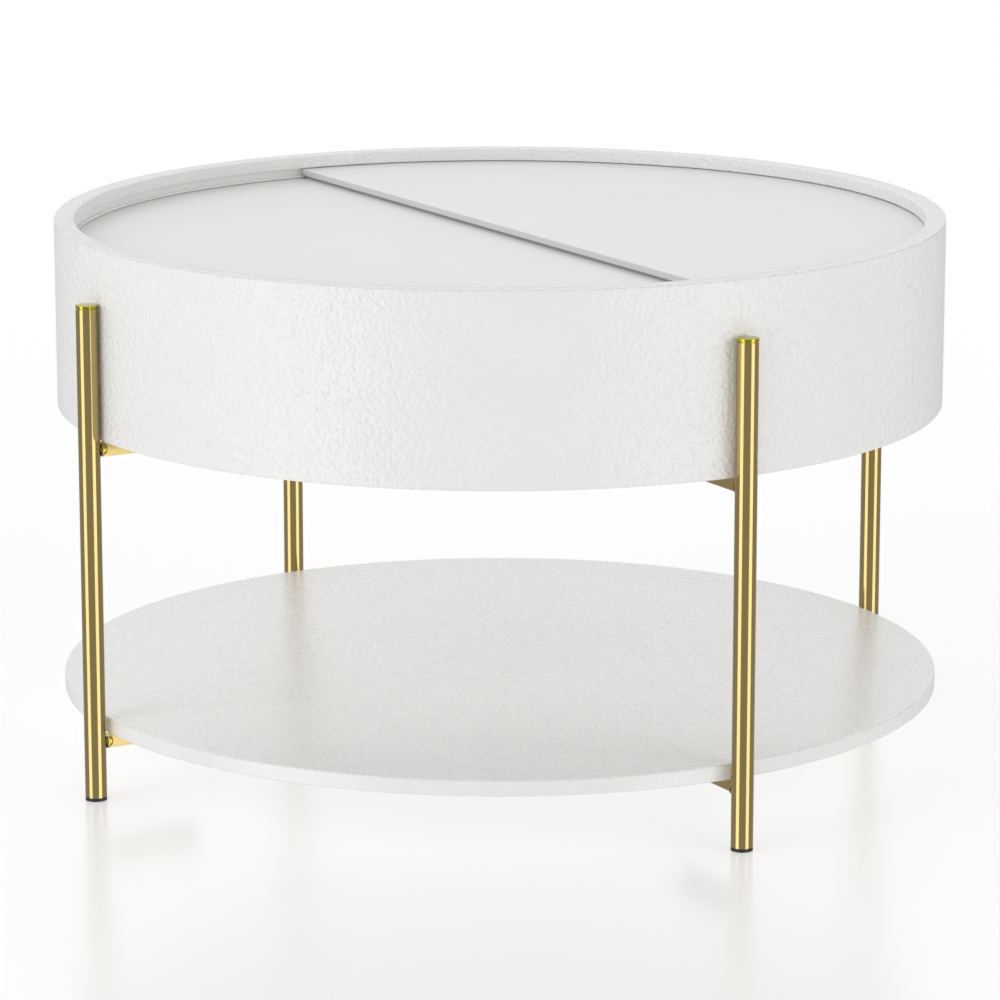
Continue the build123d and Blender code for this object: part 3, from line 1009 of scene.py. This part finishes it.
class DRUMTABLE_OT_turn_legs(bpy.types.Operator):
    """Makes the four leg tubes, their caps and their feet"""

    bl_idname = "drum_table.turn_legs"
    bl_label = "Turn Legs"

    def execute(self, context):
        sizes = context.scene.drum_table_sizes
        low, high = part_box("leg_right")
        circle = (low.x + high.x) / 2
        tube_radius = (high.x - low.x) / 2
        cap_low, cap_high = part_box("leg_cap_right")
        cap_radius = (cap_high.y - cap_low.y) / 2
        shared = {"place_circle": circle, "places": len(LEGS), "steps": sizes.tube_steps}
        tubes = turned(
            "leg_tubes",
            finish("tube"),
            inner_radius=tube_radius - sizes.tube_wall,
            outer_radius=tube_radius,
            base=low.z,
            height=high.z - low.z,
            top_rounding=0.3 * MM,
            foot_rounding=0.3 * MM,
            **shared,
        )
        settle(tubes, "table", "gold_tube", *[f"leg_{leg}" for leg in LEGS])
        caps = turned(
            "leg_caps",
            finish("turning"),
            outer_radius=cap_radius,
            base=high.z + CAP_NECK,
            height=cap_high.z - high.z - CAP_NECK,
            top_rounding=0.7 * MM,
            foot_rounding=0.1 * MM,
            **shared,
        )
        necks = turned(
            "leg_cap_necks",
            finish("turning"),
            outer_radius=cap_radius - CAP_NECK_INSET,
            base=high.z - CAP_NECK_SUNK,
            height=CAP_NECK_SUNK + CAP_NECK + CAP_NECK_LAP,
            **shared,
        )
        settle(caps, "table", "gold_cap", *[f"leg_cap_{leg}" for leg in LEGS])
        settle(necks, "table", "gold_cap")
        feet = turned(
            "leg_feet",
            finish("foot"),
            outer_radius=tube_radius,
            base=0.0,
            height=low.z,
            foot_rounding=1.2 * MM,
            top_rounding=0.2 * MM,
            **shared,
        )
        settle(feet, "table", "foot", *[f"leg_foot_{leg}" for leg in LEGS])
        return {"FINISHED"}


def cleaned_copy(node):
    """A copy of a CAD node's mesh with its triangles joined into whole flat faces."""
    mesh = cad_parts[node].data.copy()
    bm = bmesh.new()
    bm.from_mesh(mesh)
    bmesh.ops.remove_doubles(bm, verts=bm.verts, dist=0.005 * MM)
    bmesh.ops.dissolve_limit(bm, angle_limit=math.radians(2), verts=bm.verts, edges=bm.edges)
    bm.to_mesh(mesh)
    bm.free()
    return mesh


class DRUMTABLE_OT_plate_brackets(bpy.types.Operator):
    """Gives the eight folded brackets tumbled edges and their plating"""

    bl_idname = "drum_table.plate_brackets"
    bl_label = "Plate Brackets"

    def execute(self, context):
        sizes = context.scene.drum_table_sizes
        for board in BOARDS:
            for leg in LEGS:
                node = f"{board}_bracket_{leg}"
                bracket = link(f"{node}_plated", cleaned_copy(node), finish("plate"))
                bevel(bracket, sizes.plate_edge, segments=2, angle=40.0)
                settle(bracket, "table", "gold_bracket", node)
        return {"FINISHED"}


def round_headed_bolt(radius):
    """A bolt head's mesh on the origin, its axis along X and its crown towards -X."""
    bm = bmesh.new()
    steps = 48
    turns = [2 * math.pi * k / steps for k in range(steps)]
    crown = corner_arc((radius - BOLT_CROWN, BOLT_HEIGHT - BOLT_CROWN), BOLT_CROWN, 0, 90, 5)
    rings = []
    for r, x in [(radius, 0.0), *crown, (radius - BOLT_FLAT, BOLT_HEIGHT)]:
        rings.append([bm.verts.new((-x, r * math.cos(t), r * math.sin(t))) for t in turns])
    for x in (BOLT_HEIGHT, BOLT_HEIGHT - BOLT_SOCKET_DEPTH):
        ring = []
        for t in turns:
            reach = BOLT_SOCKET / math.cos((t % (math.pi / 3)) - math.pi / 6)
            ring.append(bm.verts.new((-x, reach * math.cos(t), reach * math.sin(t))))
        rings.append(ring)
    for inner, outer in zip(rings, rings[1:]):
        for k in range(steps):
            j = (k + 1) % steps
            bm.faces.new((inner[k], inner[j], outer[j], outer[k]))
    bm.faces.new(rings[0])
    bm.faces.new(rings[-1])
    return write_out(bm, bpy.data.meshes.new("round_headed_bolt"))


class DRUMTABLE_OT_drive_fasteners(bpy.types.Operator):
    """Makes the leg bolts' heads, and gives the other screws and nuts their plating"""

    bl_idname = "drum_table.drive_fasteners"
    bl_label = "Drive Fasteners"

    def execute(self, context):
        sizes = context.scene.drum_table_sizes
        inner_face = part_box("drum_bracket_right")[1].x - sizes.plate
        low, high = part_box("leg_bolts")
        bolts = grow(
            "leg_bolt_heads",
            tree_named("fasteners_at_the_legs", leg_fastener_tree),
            {
                "Radius": inner_face,
                "Upper height": high.z - sizes.bolt_head,
                "Lower height": low.z + sizes.bolt_head,
                "Legs": len(LEGS),
            },
            finish("turning"),
            round_headed_bolt(sizes.bolt_head),
        )
        settle(bolts, "table", "gold_cap", "leg_bolts")
        repaint("rivet_nuts", "turning")
        for holder in ("drum_bracket", "shelf_bracket", "wall", "divider"):
            repaint(f"{holder}_screws", "zinc")
        return {"FINISHED"}


class DRUMTABLE_OT_set_stage(bpy.types.Operator):
    """Lays the pale floor, hangs the soft lights and places the camera"""

    bl_idname = "drum_table.set_stage"
    bl_label = "Set Stage"

    def execute(self, context):
        studio = context.scene.drum_table_studio
        self.lay_floor(studio)
        self.stand_strip_light("left_strip", -1, studio)
        self.stand_strip_light("right_strip", 1, studio)
        self.light_studio(studio)
        self.place_camera(context, studio)
        context.scene.view_settings.view_transform = "Standard"
        return {"FINISHED"}

    def lay_floor(self, studio):
        """A wide, white, slightly polished floor, lit from below."""
        mesh = bpy.data.meshes.new("studio_floor")
        corners = [(x * FLOOR_HALF, y * FLOOR_HALF, 0) for x, y in ((-1, -1), (1, -1), (1, 1), (-1, 1))]
        mesh.from_pydata(corners, [], [(0, 1, 2, 3)])
        floor = bpy.data.objects.new("studio_floor", mesh)
        bpy.context.scene.collection.objects.link(floor)
        material, _, shader = new_material("pale_floor", 0.22, linear("#C0C0C0"), IOR=1.35)
        shader.inputs["Emission Color"].default_value = (1, 1, 1, 1)
        shader.inputs["Emission Strength"].default_value = studio.floor_glow
        mesh.materials.append(material)
        floor.visible_glossy = False

    def stand_strip_light(self, name, side, studio):
        """One of the two tall lights that stand 54 degrees to the sides of the camera."""
        data = bpy.data.lights.new(name, "AREA")
        data.shape = "RECTANGLE"
        data.size, data.size_y = STRIP_WIDTH, STRIP_HEIGHT
        data.energy = getattr(studio, name) * math.pi * data.size * data.size_y
        light = bpy.data.objects.new(name, data)
        heading = studio.camera_turn - math.pi / 2 + side * STRIP_TURN
        away = (STRIP_DISTANCE * math.cos(heading), STRIP_DISTANCE * math.sin(heading))
        light.location = (*away, STRIP_LIFT)
        light.rotation_euler = (math.pi / 2, 0, heading + math.pi / 2)
        light.visible_camera = False
        light.visible_glossy = False
        bpy.context.scene.collection.objects.link(light)

    def light_studio(self, studio):
        """White walls and ceiling, with two tall strip lights and dark flags that only shiny
        surfaces show. The strips stand 37 to 71 degrees to each side of the camera."""
        world = bpy.data.worlds.new("white_studio")
        world.use_nodes = True
        world.cycles.sampling_method = "NONE"
        bpy.context.scene.world = world
        tree = world.node_tree
        tree.nodes.remove(tree.nodes["Background"])
        heading = studio.camera_turn - math.pi / 2
        front = Vector((math.cos(heading), math.sin(heading), 0))
        right = Vector((-front.y, front.x, 0))
        way = add_node(tree, "ShaderNodeTexCoord").outputs["Generated"]
        height = add_node(tree, "ShaderNodeSeparateXYZ", {0: way}).outputs["Z"]
        ahead = add_node(tree, "ShaderNodeVectorMath", {0: way, 1: front}, operation="DOT_PRODUCT")
        aside = add_node(tree, "ShaderNodeVectorMath", {0: way, 1: right}, operation="DOT_PRODUCT")
        angle = add_node(
            tree,
            "ShaderNodeMath",
            {0: aside.outputs["Value"], 1: ahead.outputs["Value"]},
            operation="ARCTAN2",
        )
        either = add_node(tree, "ShaderNodeMath", {0: angle.outputs[0]}, operation="ABSOLUTE")
        strip = add_node(
            tree,
            "ShaderNodeMath",
            {0: either.outputs[0], 1: STRIP_TURN, 2: STRIP_HALF_TURN},
            operation="COMPARE",
        )
        behind = [
            add_node(
                tree,
                "ShaderNodeMapRange",
                {
                    "Value": either.outputs[0],
                    "From Min": FLAGS_END,
                    "From Max": WALLS_BEGIN,
                    "To Min": front_level,
                    "To Max": back_level,
                },
            ).outputs["Result"]
            for front_level, back_level in (
                (studio.mirror_low, studio.mirror_wall),
                (FLAGGED_CEILING * studio.mirror_ceiling, studio.mirror_ceiling),
            )
        ]
        above = add_node(tree, "ShaderNodeMapRange", {"Value": height, "From Min": -0.03, "From Max": 0.08})
        overhead = add_node(tree, "ShaderNodeMapRange", {"Value": height, "From Min": 0.24, "From Max": 0.42})
        mirrored = studio.mirror_low
        for share, level in (
            (above.outputs["Result"], behind[0]),
            (overhead.outputs["Result"], behind[1]),
            (strip.outputs[0], studio.strip_light),
        ):
            mirrored = add_node(
                tree,
                "ShaderNodeMix",
                {"Factor": share, "A": mirrored, "B": level},
                data_type="FLOAT",
            ).outputs[0]
        lean = front * studio.fill_front + right * studio.fill_right + Vector((0, 0, studio.fill_top))
        leaning = add_node(tree, "ShaderNodeVectorMath", {0: way, 1: lean}, operation="DOT_PRODUCT")
        fill = add_node(
            tree, "ShaderNodeMath", {0: leaning.outputs["Value"], 1: studio.fill_light}, operation="ADD"
        )
        seen = add_node(tree, "ShaderNodeLightPath").outputs
        lit = add_node(
            tree,
            "ShaderNodeMix",
            {"Factor": seen["Is Glossy Ray"], "A": fill.outputs[0], "B": mirrored},
            data_type="FLOAT",
        )
        shown = add_node(
            tree,
            "ShaderNodeMix",
            {"Factor": seen["Is Camera Ray"], "A": lit.outputs[0], "B": 1.0},
            data_type="FLOAT",
        )
        walls = add_node(tree, "ShaderNodeBackground", {"Strength": shown.outputs[0]})
        walls.inputs["Color"].default_value = (1, 1, 1, 1)
        tree.links.new(walls.outputs[0], tree.nodes["World Output"].inputs["Surface"])

    def place_camera(self, context, studio):
        """A long lens looking down a little at the table."""
        data = bpy.data.cameras.new("camera")
        data.lens = studio.lens
        data.sensor_width = 36.0
        data.clip_end = 100.0
        camera = bpy.data.objects.new("camera", data)
        away = studio.camera_distance
        turn = studio.camera_turn
        camera.location = (away * math.sin(turn), -away * math.cos(turn), studio.camera_height)
        camera.rotation_euler = (math.pi / 2 - studio.camera_tilt, 0, turn)
        context.scene.collection.objects.link(camera)
        context.scene.camera = camera


class DRUMTABLE_PT_sidebar(bpy.types.Panel):
    """Lists the steps that build the table's looks"""

    bl_idname = "DRUMTABLE_PT_sidebar"
    bl_label = "Drum Table"
    bl_space_type = "VIEW_3D"
    bl_region_type = "UI"
    bl_category = "Drum Table"

    def draw(self, context):
        for operator in OPERATORS:
            self.layout.operator(operator.bl_idname)


GROUPS = {
    "drum_table_sizes": DrumTableSizes,
    "drum_table_colours": DrumTableColours,
    "drum_table_studio": DrumTableStudio,
}
OPERATORS = (
    DRUMTABLE_OT_set_stage,
    DRUMTABLE_OT_cover_drum,
    DRUMTABLE_OT_line_drum,
    DRUMTABLE_OT_cover_shelf,
    DRUMTABLE_OT_cover_lids,
    DRUMTABLE_OT_lay_felt,
    DRUMTABLE_OT_turn_legs,
    DRUMTABLE_OT_plate_brackets,
    DRUMTABLE_OT_drive_fasteners,
)


def register():
    """Registers the settings, the operators and the panel."""
    for name, group in GROUPS.items():
        bpy.utils.register_class(group)
        setattr(bpy.types.Scene, name, PointerProperty(type=group))
    for operator in OPERATORS:
        bpy.utils.register_class(operator)
    bpy.utils.register_class(DRUMTABLE_PT_sidebar)


def unregister():
    """Removes what register added."""
    bpy.utils.unregister_class(DRUMTABLE_PT_sidebar)
    for operator in reversed(OPERATORS):
        bpy.utils.unregister_class(operator)
    for name, group in reversed(GROUPS.items()):
        delattr(bpy.types.Scene, name)
        bpy.utils.unregister_class(group)


def main():
    """Registers the add-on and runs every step."""
    register()
    for operator in OPERATORS:
        group, step = operator.bl_idname.split(".")
        getattr(getattr(bpy.ops, group), step)()


if __name__ == "__main__":
    main()
